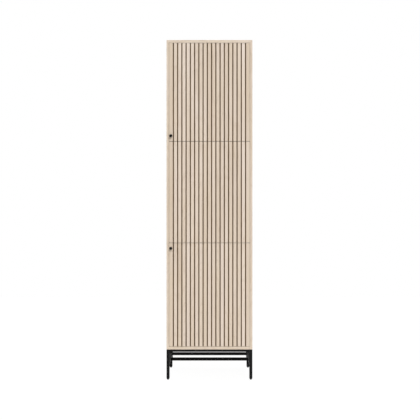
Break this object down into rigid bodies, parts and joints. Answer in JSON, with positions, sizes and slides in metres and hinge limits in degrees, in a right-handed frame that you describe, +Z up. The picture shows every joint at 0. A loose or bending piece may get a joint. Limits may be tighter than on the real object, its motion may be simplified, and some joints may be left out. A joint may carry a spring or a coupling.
{
  "type": "louvred door cabinet",
  "caption": "Tall slim cabinet with inset slatted oak doors, small round knobs, hidden pivots, inner shelves and a black steel leg frame.",
  "frame": {"origin": "on the floor, under the middle of the whole object, knobs included", "axes": "+Z up, the doors face -Y, the hinges are at +X"},
  "size_m": [0.455, 0.422, 1.8],
  "materials": {
    "oak_slats": "pale whitewashed oak, matt lacquer",
    "oak_panel": "pale whitewashed oak, matt lacquer",
    "door_backing": "oak veneer in the shade of the grooves, matt",
    "back_board": "thin fibreboard with a pale oak face",
    "beech": "plain beech dowel rod",
    "black_steel": "black powder coat, fine texture",
    "black_plastic": "moulded, matt",
    "catch_plastic": "moulded, satin",
    "nylon": "natural nylon",
    "magnet": "ferrite magnet between steel poles",
    "zinc_steel": "zinc plated"
  },
  "bodies": {
    "carcass": {"back_panel": "back_board", "bottom_panel": "oak_panel", "bottom_pivot_pin": "zinc_steel", "bracket_screws": "zinc_steel", "carcass_dowels": "beech", "catch_magnets": "magnet", "catch_screws": "zinc_steel", "foot_glides": "black_plastic", "frame_screws": "zinc_steel", "front_left_leg": "black_steel", "front_right_leg": "black_steel", "front_top_rail": "black_steel", "left_side_panel": "oak_panel", "left_side_stretcher": "black_steel", "left_top_rail": "black_steel", "lower_divider": "oak_panel", "lower_seam_bracket": "black_steel", "lower_shelf": "oak_panel", "magnet_catch_housings": "catch_plastic", "middle_shelf": "oak_panel", "middle_stretcher": "black_steel", "push_latch_housing": "catch_plastic", "rear_left_leg": "black_steel", "rear_right_leg": "black_steel", "rear_stretcher": "black_steel", "rear_top_rail": "black_steel", "right_side_panel": "oak_panel", "right_side_stretcher": "black_steel", "right_top_rail": "black_steel", "seam_pivot_pins": "zinc_steel", "shelf_pins": "zinc_steel", "top_panel": "oak_panel", "top_pivot_pin": "zinc_steel", "upper_divider": "oak_panel", "upper_seam_bracket": "black_steel", "upper_shelf": "oak_panel"},
    "upper_door": {"upper_door_bushes": "nylon", "upper_door_hinge_stile": "oak_slats", "upper_door_latch_stile": "oak_slats", "upper_door_panel": "door_backing", "upper_door_slats": "oak_slats", "upper_door_strike": "zinc_steel", "upper_knob": "black_steel", "upper_knob_screw": "zinc_steel"},
    "middle_door": {"middle_door_bushes": "nylon", "middle_door_hinge_stile": "oak_slats", "middle_door_latch_stile": "oak_slats", "middle_door_panel": "door_backing", "middle_door_slats": "oak_slats", "middle_door_strike": "zinc_steel"},
    "lower_door": {"lower_door_bushes": "nylon", "lower_door_hinge_stile": "oak_slats", "lower_door_latch_stile": "oak_slats", "lower_door_panel": "door_backing", "lower_door_slats": "oak_slats", "lower_door_strike": "zinc_steel", "lower_knob": "black_steel", "lower_knob_screw": "zinc_steel"},
    "push_latch": {"push_latch_plunger": "nylon"}
  },
  "joints": [
    {"name": "upper_door_hinge", "type": "hinge", "parent": "carcass", "child": "upper_door", "pos_m": [0.20424, -0.1845, 1.5234], "axis": [0, 0, 1], "range_deg": [0, 110]},
    {"name": "middle_door_hinge", "type": "hinge", "parent": "carcass", "child": "middle_door", "pos_m": [0.20424, -0.1845, 0.994], "axis": [0, 0, 1], "range_deg": [0, 110]},
    {"name": "lower_door_hinge", "type": "hinge", "parent": "carcass", "child": "lower_door", "pos_m": [0.20424, -0.1845, 0.4506], "axis": [0, 0, 1], "range_deg": [0, 110]},
    {"name": "push_latch_slide", "type": "slide", "parent": "carcass", "child": "push_latch", "axis": [0, -1, 0], "range_m": [0, 0.012]}
  ],
  "couplings": [
    {"joint": "push_latch_slide", "follows": "middle_door_hinge", "m_per_rad": 0.00625}
  ]
}
